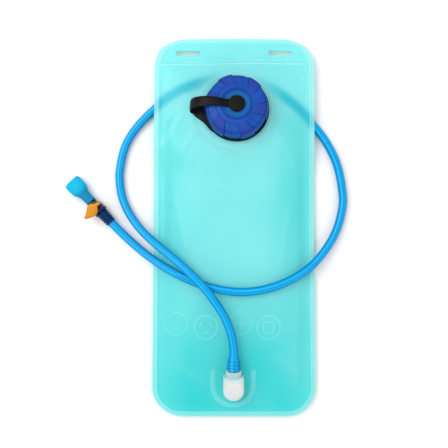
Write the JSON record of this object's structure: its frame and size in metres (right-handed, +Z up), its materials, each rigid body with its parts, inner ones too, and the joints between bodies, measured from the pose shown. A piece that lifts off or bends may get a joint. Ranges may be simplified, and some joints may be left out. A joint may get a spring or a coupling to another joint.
{
  "type": "hydration bladder",
  "caption": "Flat film water reservoir with a threaded filler cap on a tether, hanger slots, and a drinking hose with a shut-off lever and a bite valve.",
  "frame": {"origin": "on the surface that the reservoir lies on, under the middle of the reservoir's outline", "axes": "+Z up, +Y along the reservoir towards its filler end and hanger slots, +X across it, to the right seen from above with the filler end away"},
  "size_m": [0.306, 0.412, 0.045],
  "materials": {
    "film": "clear turquoise film, satin gloss",
    "weld_flange": "clear turquoise moulding",
    "tether": "matt black, soft moulding",
    "cap": "satin blue moulding",
    "liner": "pale moulding",
    "seal": "pale silicone",
    "outlet_white": "milky translucent white",
    "hose": "glossy translucent blue tube",
    "valve_navy": "gloss navy moulding",
    "lever_orange": "satin orange moulding",
    "bite_silicone": "satin light blue silicone"
  },
  "bodies": {
    "reservoir": {"front_film": "film", "back_film": "film", "neck_collar": "weld_flange", "tether_ring": "tether", "outlet_flange": "weld_flange", "outlet_elbow": "outlet_white", "elbow_seal": "seal", "hose_tail": "outlet_white", "hose_tail_seal": "seal", "hose_end_outlet": "hose", "hose": "hose", "hose_end_valve": "hose", "valve_body": "valve_navy", "bite_valve": "bite_silicone"},
    "tether": {"tether_button": "tether", "tether_strap": "tether"},
    "cap": {"cap_shell": "cap", "cap_liner": "liner", "cap_gasket": "seal"},
    "lever": {"shutoff_lever": "lever_orange", "valve_rotor": "valve_navy", "rotor_seal_lower": "seal", "rotor_seal_upper": "seal"}
  },
  "joints": [
    {"name": "cap_rise", "type": "slide", "parent": "reservoir", "child": "tether", "axis": [0, 0.1045, 0.9945], "range_m": [0, 0.0113]},
    {"name": "cap_unscrew", "type": "hinge", "parent": "tether", "child": "cap", "pos_m": [0.0021, 0.1265, 0.0185], "axis": [0, 0.1045, 0.9945], "range_deg": [0, 900]},
    {"name": "lever_turn", "type": "hinge", "parent": "reservoir", "child": "lever", "pos_m": [-0.1493, 0.02134, 0.0082], "axis": [0, 0, 1], "range_deg": [0, 90]}
  ],
  "couplings": [
    {"joint": "cap_rise", "follows": "cap_unscrew", "m_per_rad": 0.0007162}
  ]
}
